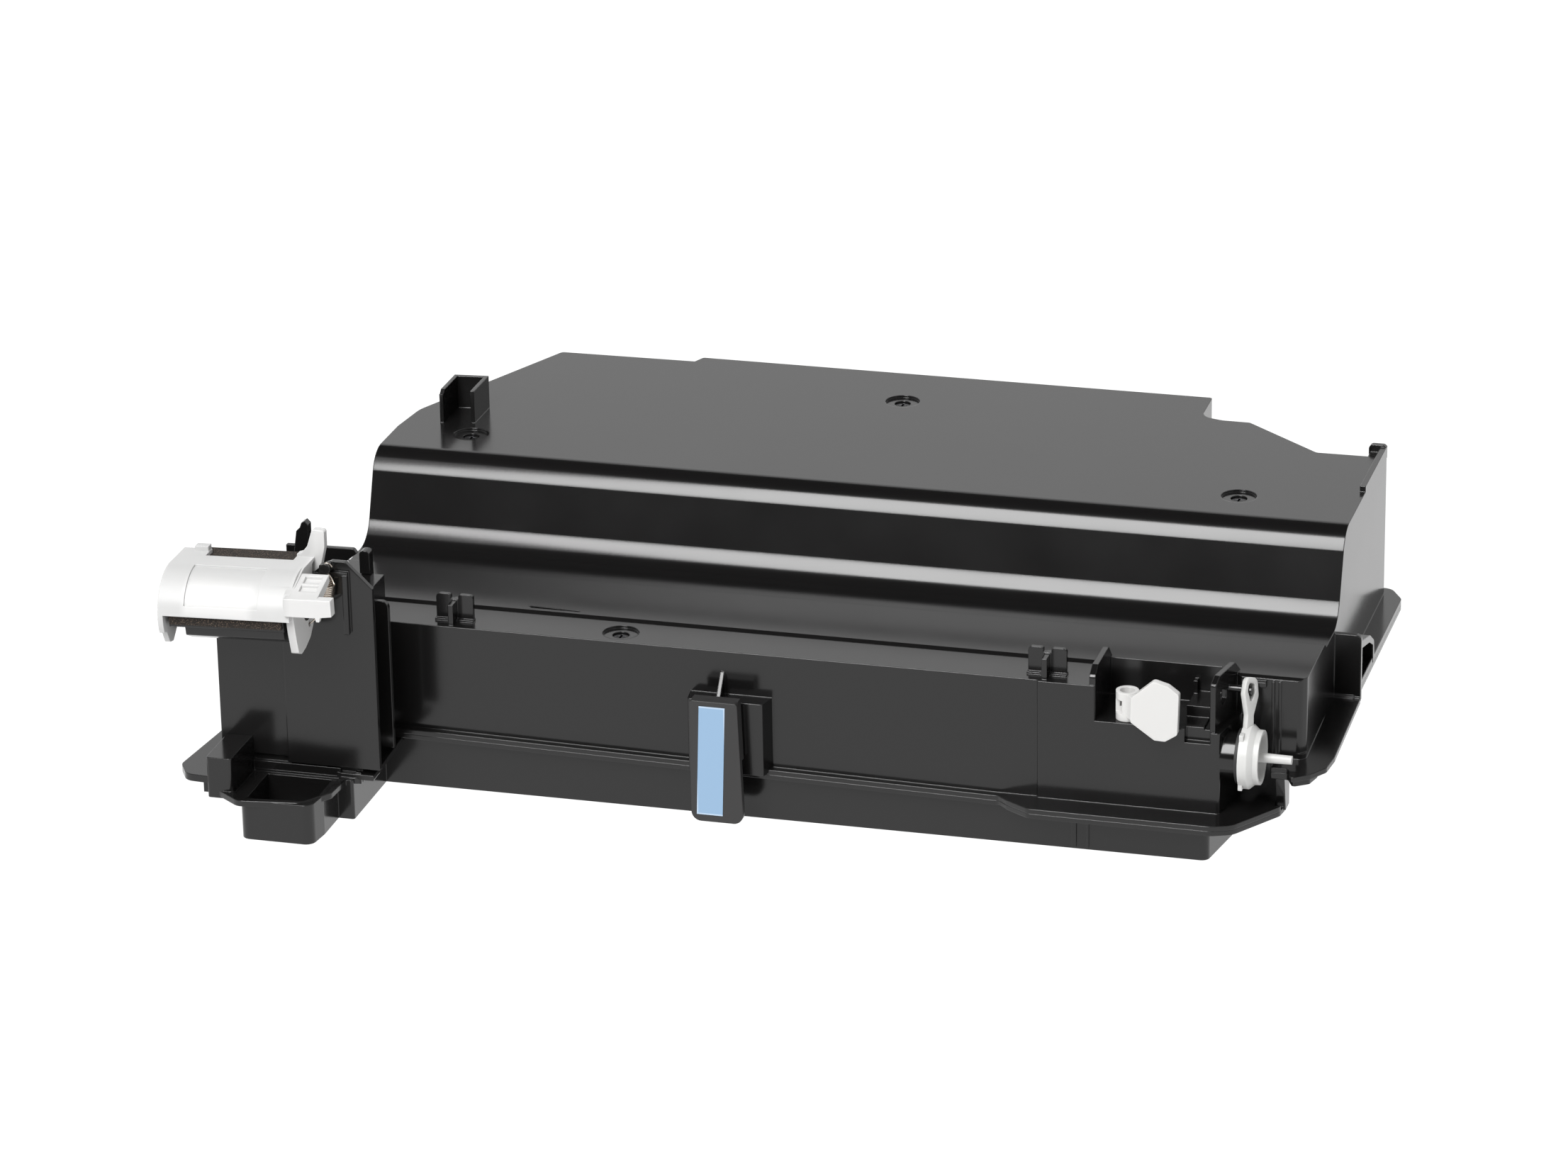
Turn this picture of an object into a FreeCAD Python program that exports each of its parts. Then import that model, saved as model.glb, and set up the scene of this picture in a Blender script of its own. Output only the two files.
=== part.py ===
import FreeCAD, Part
import math
import os
from FreeCAD import Vector as V

os.makedirs("parts", exist_ok=True)

# Toner collection unit: a black tank of two halves, an inlet tower at the left, a handle,
# a level flag and a sealing cap. Millimetres. X = 0 is the handle, Y = 0 the front wall,
# Z = 0 the floor the tray stands on.

WALL = 2.0
SLIDE = 0.06          # radial running clearance of turning fits
LEDGE_Z = 52.8
TOP_Z = 78.3
RIGHT_X = 172.3
LEFT_X = -135.0
BACK_Y = 181.8
SEAM_LEFT = 17.7      # seam height at the tower, where the rim starts
SEAM_LOW = 14.2       # seam height along the right half of the front
SEAM_HIGH = 29.4      # seam height along the right side
SEAM_CORNER = 26.2    # seam height at the right front corner, under the cap
FLANGE_X = 180.4      # outer edge of the right rim
LIP = 1.5             # thickness of each of the two rims at the seam
RISE_Y = 65.5         # foot of the slope between ledge and top
RISE_RUN = 9.7


def corner_wire(points, put):
    """Closed wire through 2-D points; a third value rounds that corner."""
    n = len(points)
    ends = []
    for i in range(n):
        bx, by = points[i][0], points[i][1]
        r = points[i][2] if len(points[i]) > 2 else 0
        ax, ay = points[i - 1][0], points[i - 1][1]
        cx, cy = points[(i + 1) % n][0], points[(i + 1) % n][1]
        if r <= 0:
            ends.append((put(bx, by), None, put(bx, by)))
            continue
        ua = math.hypot(ax - bx, ay - by)
        uc = math.hypot(cx - bx, cy - by)
        dax, day = (ax - bx) / ua, (ay - by) / ua
        dcx, dcy = (cx - bx) / uc, (cy - by) / uc
        half = math.acos(max(-1, min(1, dax * dcx + day * dcy))) / 2
        t = min(r / math.tan(half), 0.49 * ua, 0.49 * uc)
        r = t * math.tan(half)
        mx, my = dax + dcx, day + dcy
        m = math.hypot(mx, my)
        d = r / math.sin(half) - r
        ends.append((put(bx + dax * t, by + day * t), put(bx + mx / m * d, by + my / m * d),
                     put(bx + dcx * t, by + dcy * t)))
    edges = []
    for i in range(n):
        start, mid, stop = ends[i]
        if mid is not None:
            edges.append(Part.Arc(start, mid, stop).toShape())
        after = ends[(i + 1) % n][0]
        if stop.distanceToPoint(after) > 1e-6:
            edges.append(Part.makeLine(stop, after))
    return Part.Wire(edges)


def flat_z(points, z0, z1):
    face = Part.Face(corner_wire(points, lambda u, v: V(u, v, z0)))
    return face.extrude(V(0, 0, z1 - z0))


def flat_x(points, x0, x1):
    face = Part.Face(corner_wire(points, lambda u, v: V(x0, u, v)))
    return face.extrude(V(x1 - x0, 0, 0))


def flat_y(points, y0, y1):
    face = Part.Face(corner_wire(points, lambda u, v: V(u, y0, v)))
    return face.extrude(V(0, y1 - y0, 0))


def block(x0, x1, y0, y1, z0, z1):
    return Part.makeBox(x1 - x0, y1 - y0, z1 - z0, V(x0, y0, z0))


def rod(centre, axis, radius, length):
    return Part.makeCylinder(radius, length, V(*centre), V(*axis))


def ring(centre, axis, outer, inner, length):
    return rod(centre, axis, outer, length).cut(rod(centre, axis, inner, length))


def joined(first, *others):
    return first.fuse(list(others)).removeSplitter()


def shrink(points, amount):
    """Inner outline of a thick wall, as a face on Z = 0."""
    wire = corner_wire(points, lambda u, v: V(u, v, 0))
    return Part.Face(wire.makeOffset2D(-amount))


def sharp_inside(points):
    """The same outline with its small roundings left out, for the inside of a wall."""
    return [p if len(p) > 2 and p[2] > WALL else p[:2] for p in points]


def save(name, shape):
    if shape.ShapeType == "Compound" and len(shape.Solids) == 1:
        shape = shape.Solids[0]
    assert shape.isValid(), name
    assert len(shape.Solids) == 1, (name, len(shape.Solids))
    shape.exportStep("parts/" + name + ".step")
    b = shape.BoundBox
    print("%-18s %9.1f mm3  x %.1f %.1f  y %.1f %.1f  z %.1f %.1f" % (
        name, shape.Volume, b.XMin, b.XMax, b.YMin, b.YMax, b.ZMin, b.ZMax))


# Tank shell: one plan outline, one side profile, both shrunk by the wall for the inside.

body_plan = [
    (-121, 0, 1.5), (95.2, 0), (95.6, -0.9), (150.1, -0.9, 1.0), (153.0, 16, 1.0),
    (170.6, 16, 2.4), (RIGHT_X, 18.2, 1.5), (RIGHT_X, 145.4, 1.0), (167.3, 145.4, 1.0),
    (167.3, 139.4), (151.2, 139.2, 2), (125.8, 161.1, 1.0), (117, 161.2, 6), (109.9, 163.4, 7),
    (109.7, BACK_Y - 0.8, 1.0), (-58.9, BACK_Y, 1.0), (-60.6, 177.6), (-105.4, 176.8, 1.5),
    (-133.2, 114, 14), (LEFT_X, 98, 8), (LEFT_X, 46, 4), (-121, 22, 4)]
side_profile = [
    (-30, 10), (-30, LEDGE_Z), (16.0, LEDGE_Z), (17.2, LEDGE_Z + 0.7),
    (44.5, LEDGE_Z + 0.7), (47.5, LEDGE_Z - 1.2, 1.5), (RISE_Y, LEDGE_Z - 1.2, 10),
    (RISE_Y + RISE_RUN, TOP_Z, 9), (230, TOP_Z), (230, 10)]
upper_solid = flat_z(body_plan, 10, 100).common(flat_x(side_profile, -200, 220))

inner_plan = shrink(sharp_inside(body_plan), WALL).extrude(V(0, 0, 100))
inner_profile = Part.Face(corner_wire(side_profile, lambda u, v: V(-200, u, v)).makeOffset2D(-WALL))
upper_void = inner_plan.common(inner_profile.extrude(V(420, 0, 0)))

# Deep part of the tray under the tank, and the raised shelf at the right.

tray_plan = [
    (-113, 0, 2), (146.5, 0, 2.5), (150.2, 21.8, 3), (150.2, 139.2, 4), (125.8, 161.1, 1.0),
    (117, 161.2, 6), (109.9, 163.4, 7), (109.7, BACK_Y - 0.8, 1.0), (-58.9, BACK_Y, 1.0),
    (-60.6, 177.6), (-105.4, 176.8, 1.5), (-133.2, 114, 14), (LEFT_X, 98, 8),
    (LEFT_X, 46, 4), (-121, 22, 4)]
SHELF_Z = 23.6
shelf_plan = [
    (147, 16), (RIGHT_X, 16, 2), (RIGHT_X, 145.4, 1), (167.3, 145.4, 1), (167.3, 139.4),
    (147, 139.2)]
shelf_inner = [
    (146, 18.0), (RIGHT_X - WALL, 18.0, 1), (RIGHT_X - WALL, 143.4), (169.3, 143.4),
    (169.3, 137.4), (146, 137.2)]
TANK_SIDE = 148.2      # inner face of the deep part's right wall
side_zone = flat_z([(TANK_SIDE, 17.0), (TANK_SIDE, 260), (260, 260), (260, -60), (166.9, -60), (166.9, 9),
                    (162.8, 9), (162.8, 17.0)], -30, 140)
deep_zone = flat_z([(TANK_SIDE, 14.0), (TANK_SIDE, 260), (260, 260), (260, 14.0)], -30, SHELF_Z + WALL)
tray_void = shrink(sharp_inside(tray_plan), WALL).extrude(V(0, 0, 30 - WALL))
tray_void.translate(V(0, 0, WALL))

# Flag bay: a recess in the front right of the ledge, and the floor steps beside it.

BAY_X0, BAY_X1, BAY_Y, BAY_Z = 112.6, 146.4, 20.6, 41.8
bay = block(BAY_X0, BAY_X1, -6, BAY_Y, BAY_Z, 100)
bay = bay.fuse([block(139.6, BAY_X1 + 1, -6, 1.4, 37.6, 100),
                flat_z([(145.0, -6), (165, -6), (165, 16), (153.0, 16), (145.0, 20.6)], 41.2, 100)])
bay_skin = block(BAY_X0 - WALL, BAY_X1 + 20, -6, BAY_Y + WALL, BAY_Z - WALL, 100)
bay_skin = bay_skin.fuse([block(137.6, 160, -6, 3.4, 35.4, 100)])

outer = upper_solid.cut(bay)
outer = outer.cut(block(-200, 200, -20, 220, 0, 13.0))
outer = outer.cut(flat_z([(152.8, 15.5), (150.2, 22), (150.2, 230), (230, 230), (230, 15.5)], 0, SHELF_Z))
body = outer.fuse([flat_z(tray_plan, 0, 25.4), flat_z(shelf_plan, SHELF_Z, 30)])
high_void = upper_void.common(block(-300, 300, -60, 300, 16, 100)).cut(bay_skin).cut(deep_zone)
low_void = tray_void.common(block(-300, 300, -60, 300, 0, 16))
shelf_void = flat_z(shelf_inner, SHELF_Z + WALL, 32)
void = high_void.fuse([low_void, shelf_void])
shell = body.cut(void)

# Seam: the cover is what lies above a slightly sloping line, stepped up at the right side.

seam_line = [(-260, SEAM_LEFT), (-104, SEAM_LEFT), (82, SEAM_LOW), (260, SEAM_LOW)]
side_seam = [(-60, SEAM_CORNER), (8, SEAM_CORNER), (60.6, SEAM_HIGH - 0.6), (60.7, SEAM_HIGH), (260, SEAM_HIGH)]
below = flat_y(seam_line + [(260, -40), (-260, -40)], -90, 260).cut(side_zone)
below = below.fuse(flat_x(side_seam + [(260, -40), (-60, -40)], 100, 260).common(side_zone))


def band(up, down):
    """A plate that follows the seam line, from down below it to up above it."""
    top = [(x, z + up) for x, z in seam_line]
    low = [(x, z - down) for x, z in seam_line]
    return flat_y(top + low[::-1], -90, 260)


def side_band(up, down):
    top = [(y, z + up) for y, z in side_seam]
    low = [(y, z - down) for y, z in side_seam]
    return flat_x(top + low[::-1], 150, 200)


front_rim = [
    (-106, 1), (-106, -2.6), (84, -2.6, 2), (87, -5.2, 2), (94.6, -10, 3), (149.5, -10.4, 6),
    (155.6, -8.0, 6), (166.4, 8.6, 3), (167.0, 12.5, 1), (167.0, 17), (150, 17), (140, 1)]
back_rim = [
    (150.2, 120), (154, 140, 3), (127, 164, 2), (112.6, 166, 2), (112.6, BACK_Y + 2, 2), (-61, BACK_Y + 2.6, 2),
    (-107, 179.6, 2), (-136, 115, 14), (LEFT_X - 2.6, 98, 8), (LEFT_X - 2.6, 45, 4), (-123, 20, 4),
    (-123, 1), (-118, 1), (-118, 22), (-132, 47), (-132, 98), (-130, 114), (-103, 174), (-62, 175),
    (-57, 179), (107, 178), (107, 160), (124, 158), (147, 138), (147, 120)]
front_top = flat_z(front_rim, 5, 30).common(band(LIP, 0))
front_low = flat_z(front_rim, 5, 30).common(band(0, LIP))
rear_top = flat_z(back_rim, 5, 30).common(band(LIP, 0)).cut(side_zone)
rear_low = flat_z(back_rim, 5, 30).common(band(0, LIP)).cut(side_zone)
side_front = [(164.5, 18), (163.4, 9.2), (168.6, 9.2, 1), (170.4, 2.6, 1), (175.6, 6.8, 2), (179.4, 12.2, 2.5),
              (FLANGE_X, 20), (FLANGE_X, 62), (RIGHT_X - 2, 62), (RIGHT_X - 2, 18)]
side_under = [(164.5, 18), (163.4, 9.2), (168.6, 9.2, 1), (170.7, 4.6, 1), (175.2, 7.8, 1.5), (176.6, 12.6, 1.5),
              (177.4, 62), (RIGHT_X - 2, 62), (RIGHT_X - 2, 18)]
UNDER = 2.0            # depth of the tray's lip under the raised rim
side_back = [(RIGHT_X - 2, 60), (178.5, 60), (178.5, 141, 3), (174, 149, 4), (169, 149, 1), (169, 144)]
side_top = flat_z(side_front, 20, 40).common(side_band(LIP, 0)).fuse(
    flat_z(side_back, 20, 40).common(side_band(LIP + 0.4, 0)))
side_low = flat_z(side_under, 20, 40).common(side_band(0, UNDER)).fuse(
    flat_z(side_back, 20, 40).common(side_band(0, LIP)))
# Step plate of the tray, from the low rim up to the raised rim beside the cap, and its gap in the cover.
STEP_X0, STEP_X1 = 164.6, 167.4
STEP_GAP = 0.1
step_plate = flat_x([(12.4, SEAM_LOW - 1), (9.6, 25.4), (17.6, 25.4), (17.6, SEAM_LOW - 1)], STEP_X0, STEP_X1)
front_top = front_top.cut(block(STEP_X0 - STEP_GAP, STEP_X1 + 1, 9.4, 20, 5, 25))

# Screws that hold cover and tray: (x, y, z of the cover face).

SCREWS = [(-34.6, 7.6, LEDGE_Z), (-110.0, 96.1, TOP_Z), (14.6, 155.8, TOP_Z), (135.5, 96.5, TOP_Z)]
DISH_R, DISH_DEEP = 5.5, 0.8
HEAD_R, HEAD_H = 2.3, 1.6
HEAD_SINK = 0.5        # how far the head lies below the dish's floor
HEAD_ROOM = 0.25       # clearance round the head
SHANK_R = 1.44
SHANK_ROOM = 0.26      # clearance round the shank in the cover
SHANK_BITE = 8.0       # how deep the shank goes into the tray's post
POST_R = 3.6
COVER_POST = 14.0      # length of the cover's post under the head

cover_posts, tray_posts, cover_cuts, tray_cuts, screw_parts = [], [], [], [], []
for x, y, z in SCREWS:
    seat = z - DISH_DEEP - HEAD_SINK - HEAD_H
    join = seat - COVER_POST
    top = seat + HEAD_H
    cover_posts.append(rod((x, y, join), (0, 0, 1), POST_R, z - join - 0.2))
    cover_cuts += [rod((x, y, z - DISH_DEEP), (0, 0, 1), DISH_R, 5),
                   rod((x, y, seat), (0, 0, 1), HEAD_R + HEAD_ROOM, 10),
                   rod((x, y, join - 1), (0, 0, 1), SHANK_R + SHANK_ROOM, 30)]
    tray_posts.append(rod((x, y, WALL - 0.5), (0, 0, 1), POST_R, join - WALL + 0.5))
    tray_cuts.append(rod((x, y, join - SHANK_BITE - 3), (0, 0, 1), SHANK_R + 0.02, 20))
    shank = rod((x, y, join - SHANK_BITE), (0, 0, 1), SHANK_R, seat - join + SHANK_BITE)
    head = rod((x, y, seat), (0, 0, 1), HEAD_R, HEAD_H)
    cross = block(x - 1.4, x + 1.4, y - 0.3, y + 0.3, top - 1.0, top + 1)
    cross = cross.fuse(block(x - 0.3, x + 0.3, y - 1.4, y + 1.4, top - 1.0, top + 1))
    screw_parts.append(joined(shank, head).cut(cross))

# Cover details.

TOWER_TOP = 68.0       # top of the duct box, under the nose's plates

PORT_Y, PORT_Z, PORT_R = 6.1, 32.0, 6.0
CAP_R = PORT_R + 3.6   # radius of the sealing cap's flange
END_TILT = math.degrees(math.atan2(2.9, 16.9))   # slant of the flag box's end wall


def on_end_wall(shape):
    """Put a shape built with its axis along +X onto the end wall of the flag box."""
    shape.translate(V(150.1 + (PORT_Y + 0.9) * 2.9 / 16.9, PORT_Y, PORT_Z))
    return shape


def lug(x, y):
    """Ribbed locating lug on the ledge."""
    z = LEDGE_Z - 0.5
    back = flat_y([(x - 5.8, z), (x + 5.8, z), (x + 5.8, z + 8.9, 1.2), (x + 1.2, z + 8.9, 0.8),
                   (x + 1.2, z + 7.4), (x - 1.2, z + 7.4), (x - 1.2, z + 8.9, 0.8),
                   (x - 5.8, z + 8.9, 1.2)], y, y + 1.4)
    web = block(x - 0.8, x + 0.8, y - 4.4, y + 3.0, z, z + 7.0)
    foot = block(x - 6.0, x + 6.0, y - 1.2, y + 1.4, z, z + 1.2)
    return back.fuse([web, foot])


fins = flat_z([(-122.9, 104), (-121.7, 104), (-121.7, 118.6), (-113.2, 119.6), (-113.2, 105.8),
               (-112.0, 105.8), (-112.0, 120.9), (-122.9, 119.8)], TOP_Z - 0.5, TOP_Z + 10.6)
fins = fins.cut(flat_x([(100, TOP_Z + 10.7), (104.5, TOP_Z + 9.4), (106, TOP_Z + 10.7)], -140, -100))
right_lip = block(RIGHT_X - 1.8, RIGHT_X, 108.5, 145.4, TOP_Z - 2, TOP_Z + 1.8)
tab = flat_y([(166.8, TOP_Z - 1), (RIGHT_X, TOP_Z - 1), (RIGHT_X, TOP_Z + 2.4, 1.2),
              (166.8, TOP_Z + 2.4, 1.4)], 143.6, 145.4)
gusset = flat_y([(171.0, SEAM_HIGH + 0.2), (FLANGE_X, SEAM_HIGH + 0.2), (FLANGE_X, 50.6, 1.6), (171.0, 50.6)],
                60.8, 62.6)
loop = flat_x([(62.4, 46.9), (85.6, 40.9, 1.5), (92.6, 36.6, 1.5), (93.9, SEAM_HIGH + 0.2),
               (91.6, SEAM_HIGH + 0.2), (91.2, 35.6, 1.0), (84.9, 38.9, 1.0), (62.4, 44.4)], RIGHT_X - 0.6, 178.6)
slot_mark = flat_z([(-67.9, 20.6), (-66.4, 18.9), (-51.2, 18.9), (-51.2, 19.7)], LEDGE_Z - 0.1, 60)
bracket = flat_z([(-11.0, 1), (-10.2, -6, 0.8), (12.8, -6, 0.8), (14.6, 1)], 16.2, 39.3)
bracket_void = block(-6.8, 6.4, -6.5, -1.8, 17.5, 37.3)
prong = flat_x([(1.0, 46.4), (-0.5, 46.4), (-5.4, 40.2), (-5.4, 39), (1.0, 39)], -1.4, -0.2)
tower_prong = flat_y([(-113.4, 50), (-109.8, 50), (-110.3, 75.6, 1.3), (-113.4, 75.6, 1.3)], -1.6, 1.6)
tower_prong = tower_prong.cut(block(-120, -100, -3, -0.1, 40, TOWER_TOP + 0.3))
bay_left_plate = flat_x([(-0.4, 38), (-0.4, 55.6, 1.6), (3.4, 57.9, 1.2), (17.6, 57.9, 0.8), (24.4, 51.6), (24.4, 38)],
                        BAY_X0 - 1.6, BAY_X0 + 0.2)
strap_plate = flat_x([(1.2, 35.4), (1.2, 56.0, 1.5), (4.4, 57.9, 1.0), (16.8, 57.6, 0.8), (24.4, 50.9),
                      (24.4, 35.4)], 0.8, 2.4)
slot = flat_x([(8.1, 53.4), (5.0, 52.3), (5.0, 50.7), (7.6, 47.3), (10.3, 48.9), (10.3, 51.4)], 0, 3)
strap_plate = strap_plate.cut(slot)
strap_plate.rotate(V(0, 0, 0), V(0, 0, 1), -END_TILT)
strap_plate.translate(V(146.0, -1.1, 0))
PEG_Y, PEG_Z, PEG_R = 4.7, 19.2, 1.0
STRAP_T = 1.5          # thickness of the cap's strap
STRAP_TURN = 24.0      # how far the strap twists towards the front
PEG_LONG = 6.0         # how far the peg reaches out of the end wall
hook_peg = on_end_wall(rod((-3.6, PEG_Y, PEG_Z), (1, 0, 0), PEG_R, PEG_LONG + 3.6))
hook_head = on_end_wall(rod((PEG_LONG - 0.9, PEG_Y, PEG_Z - 0.4), (1, 0, 0), PEG_R + 0.5, 0.9))
bay_rib = block(138.2, 139.4, 18.4, 21, 41.0, 49.2)
bay_block = block(138.2, 147.4, 9.0, 21.0, 41.0, 45.2)
wall_tab = block(155.0, 160.6, 14.4, 17, 50.6, 52.2)
wall_rib = block(162.2, 163.0, 15.2, 17, 22.6, 52.4)
wall_rib2 = block(164.2, 165.0, 15.4, 17, 22.6, 52.4)
BOSS_OUT = 3.2         # how far the port boss stands out of the end wall
port_boss = on_end_wall(rod((-4, 0, 0), (1, 0, 0), PORT_R + 1.0, 4 + BOSS_OUT))
port_hole = on_end_wall(rod((-9, 0, 0), (1, 0, 0), PORT_R, 20))
FLAG_X, FLAG_Y = 121.6, 3.4
FLAG_SHAFT_R = 1.6
FLAG_SEAL_R = 2.8
flag_boss = rod((FLAG_X, FLAG_Y, BAY_Z - 7), (0, 0, 1), FLAG_SEAL_R + 1.0, 7.0)
flag_bore = rod((FLAG_X, FLAG_Y, BAY_Z - 12), (0, 0, 1), FLAG_SHAFT_R + SLIDE, 20)
flag_pocket = rod((FLAG_X, FLAG_Y, BAY_Z - 7.5), (0, 0, 1), FLAG_SEAL_R, 3.0)

cover = shell.cut(below).fuse([front_top, rear_top, side_top])
cover = cover.fuse([c.common(flat_z(body_plan, 0, 100)) for c in cover_posts])
cover = cover.fuse([lug(-86.2, 5.6), lug(97.2, 5.0), fins, right_lip, tab, gusset, loop, bracket, prong,
                    tower_prong, bay_left_plate, strap_plate, hook_peg, hook_head, bay_rib,
                    bay_block, wall_tab, wall_rib, wall_rib2, port_boss, flag_boss])
cover = cover.cut(cover_cuts + [slot_mark, bracket_void, port_hole, flag_bore, flag_pocket])

# The tower's duct meets the tank through this window in the front wall.
WINDOW = block(-119.0, -107.5, -6, 6, 21.5, 46.0)
cover = cover.cut(WINDOW)

# Inlet tower: duct, nose and its plates, a moulding of its own set over the front left.

AXIS_Y, AXIS_Z = -35.4, 67.2
NOSE_X0, NOSE_X1 = -157.6, -121.6
NOSE_R = 11.3
NOSE_BACK = -18.5
FOAM = 0.9
TOWER_X0, TOWER_X1 = -150.5, -106.2
FACE_Y = -28.0
TOWER_Z0 = SEAM_LEFT


def drum_profile(radius, back, cut_z):
    """Nose section: round at the front, running flat to the back on top."""
    face = Part.Face(Part.Wire([Part.makeCircle(radius, V(0, AXIS_Y, AXIS_Z), V(1, 0, 0))]))
    flat = Part.Face(corner_wire([(AXIS_Y, AXIS_Z - 6), (back, AXIS_Z - 6), (back, AXIS_Z + radius),
                                  (AXIS_Y, AXIS_Z + radius)], lambda u, v: V(0, u, v)))
    low = Part.Face(corner_wire([(-60, 30), (0, 30), (0, cut_z), (-60, cut_z)], lambda u, v: V(0, u, v)))
    return face.fuse(flat).cut(low).removeSplitter()


NOSE_TILT = 2.0


def tip_nose(shape):
    """The nose and what turns on it rise slightly towards the right."""
    shape.rotate(V(-159.0, AXIS_Y, AXIS_Z), V(0, 1, 0), -NOSE_TILT)
    return shape


def along_x(face, x0, x1):
    solid = face.Faces[0].extrude(V(x1 - x0, 0, 0))
    solid.translate(V(x0, 0, 0))
    return solid


duct_outer = block(TOWER_X0, TOWER_X1, FACE_Y + 0.8, -0.15, TOWER_Z0, TOWER_TOP)
face_right = flat_y([(-129.2, TOWER_Z0 - 1.6), (-100.2, TOWER_Z0 - 1.6), (-100.2, 74.3),
                     (-108.3, 82.3, 1.0), (-112.6, 82.3, 1.0), (-116.5, 80.6), (-118.0, 70),
                     (-129.2, 66)], FACE_Y, FACE_Y + 1.8)
side_plate = flat_y([(-107, TOWER_Z0 + 0.2), (-100.3, TOWER_Z0 + 0.2), (-100.3, 65.2, 2.2), (-107, 65.2)],
                    -14.4, -12.8)
top_plate = flat_y([(-136, 64), (-136, 76.2), (-114.6, 76.6, 1), (-113.6, 75.2), (-118.4, 71.4),
                    (-122, 66), (-122, 64)], -3.2, -1.6)
left_fin = flat_y([(-134.2, 64), (-128.3, 64), (-128.3, 83.6, 0.8), (-129.4, 84.7), (-130.4, 84.1),
                   (-130.9, 82.6), (-132.1, 81.4), (-133.2, 74)], -4.4, -1.6)
rib_top = block(-113.2, -107.4, FACE_Y - 1.2, FACE_Y + 0.2, 78.0, 79.4)
rib_down = block(-109.0, -107.4, FACE_Y - 1.6, FACE_Y + 0.2, 59.8, 78.6)
nose_body = along_x(drum_profile(NOSE_R, NOSE_BACK, AXIS_Z - 2.6), NOSE_X0, NOSE_X1)
nose_foot = flat_x([(AXIS_Y - NOSE_R + 1.3, AXIS_Z - 2.0), (AXIS_Y - NOSE_R + 1.7, 61.6, 0.8), (-40, 59.0, 1.5), (-27, 59.0), (-27, 72), (-40, 72)],
                   -153.2, NOSE_X1 - 0.6)
catch = flat_x([(-43.8, 62.2), (-43.6, 61.0), (-36.0, 57.4), (-27.1, 57.4), (-27.1, 62.2)], -143.0, -128.0)
pin_left = rod((NOSE_X0 - 3.0, AXIS_Y, AXIS_Z), (1, 0, 0), 2.6, 3.4)
pin_right = rod((NOSE_X1 - 0.4, AXIS_Y, AXIS_Z), (1, 0, 0), 2.6, 4.0)
POST_AT = (-113.2, 81.3)
spring_post = rod((POST_AT[0], FACE_Y + 0.5, POST_AT[1]), (0, -1, 0), 1.0, 4.6)
spring_post = spring_post.fuse(rod((POST_AT[0], FACE_Y - 3.6, POST_AT[1]), (0, -1, 0), 1.6, 0.7))

duct_void = block(TOWER_X0 + 1.8, TOWER_X1 - 1.8, FACE_Y + 2.6, -1.95, TOWER_Z0 - 2, 66.2)
nose_void = along_x(drum_profile(NOSE_R - 1.8, NOSE_BACK - 1.8, AXIS_Z - 0.8), NOSE_X0 + 1.8, NOSE_X1 - 1.8)
throat = block(-148.0, -125.0, -37.5, -22, 60.8, 70.0)
mouth = flat_x([(AXIS_Y - 16, AXIS_Z + 5), (AXIS_Y - 5, AXIS_Z + 5), (AXIS_Y + 9, AXIS_Z + 8),
                (AXIS_Y + 9, AXIS_Z + 20), (AXIS_Y - 16, AXIS_Z + 20)], -150.0, -128.5)
nose = tip_nose(nose_body.fuse([nose_foot, catch, pin_left, pin_right]))
tower = duct_outer.fuse([face_right, side_plate, top_plate, left_fin, rib_top, rib_down, nose, spring_post])
tower = tower.cut([duct_void, tip_nose(nose_void), tip_nose(throat), tip_nose(mouth.copy()), WINDOW])

# Foam sheet on the nose, round the mouth.

foam = along_x(drum_profile(NOSE_R + FOAM, NOSE_BACK, AXIS_Z - 2.6), NOSE_X0 + 0.4, NOSE_X1 - 0.4)
foam = foam.cut(along_x(drum_profile(NOSE_R, NOSE_BACK + 3, AXIS_Z - 4), NOSE_X0 - 1, NOSE_X1 + 1))
foam = foam.cut(block(-170, -100, -60, 0, 40, AXIS_Z - 1.5))
foam = tip_nose(foam.common(block(-170, -100, -60, NOSE_BACK, 40, 100)).cut(mouth))

# Shutter: shell over the foam, end discs on the two pins, push fin, bracket and spring leg.

SHELL_IN = NOSE_R + FOAM + 0.08
SHELL_OUT = SHELL_IN + 1.3
SHUT_X0, SHUT_X1 = -160.2, -118.2
BAND_BACK = -23.2
skin = along_x(drum_profile(SHELL_OUT, BAND_BACK, AXIS_Z - 30), SHUT_X0 + 0.6, SHUT_X1 - 0.6)
skin = skin.cut(along_x(drum_profile(SHELL_IN, BAND_BACK + 4, AXIS_Z - 30), -170, -100))
skin = skin.cut(flat_x([(-60, 40), (-60, AXIS_Z + 1.6), (AXIS_Y, AXIS_Z + 1.6), (AXIS_Y + 2, AXIS_Z + 11),
                        (0, AXIS_Z + 11), (0, 40)], -170, -100))
SHELL_TOP = AXIS_Z + SHELL_OUT
SHELL_FRONT = AXIS_Y - SHELL_OUT
edge_step = flat_z([(-143.4, -22), (-141.6, -24.4), (-128.6, -24.4), (-126.4, -22)], AXIS_Z, SHELL_TOP + 9)
pocket_arc = ring((-152.0, AXIS_Y, AXIS_Z), (1, 0, 0), SHELL_OUT + 1, SHELL_OUT - 0.5, 23.0)
pocket_arc = pocket_arc.common(flat_x([(AXIS_Y, AXIS_Z), (AXIS_Y - 2.4, AXIS_Z + 30), (AXIS_Y - 40, AXIS_Z + 30),
                                       (AXIS_Y - 40, AXIS_Z + 15)], -160, -100))
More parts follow.
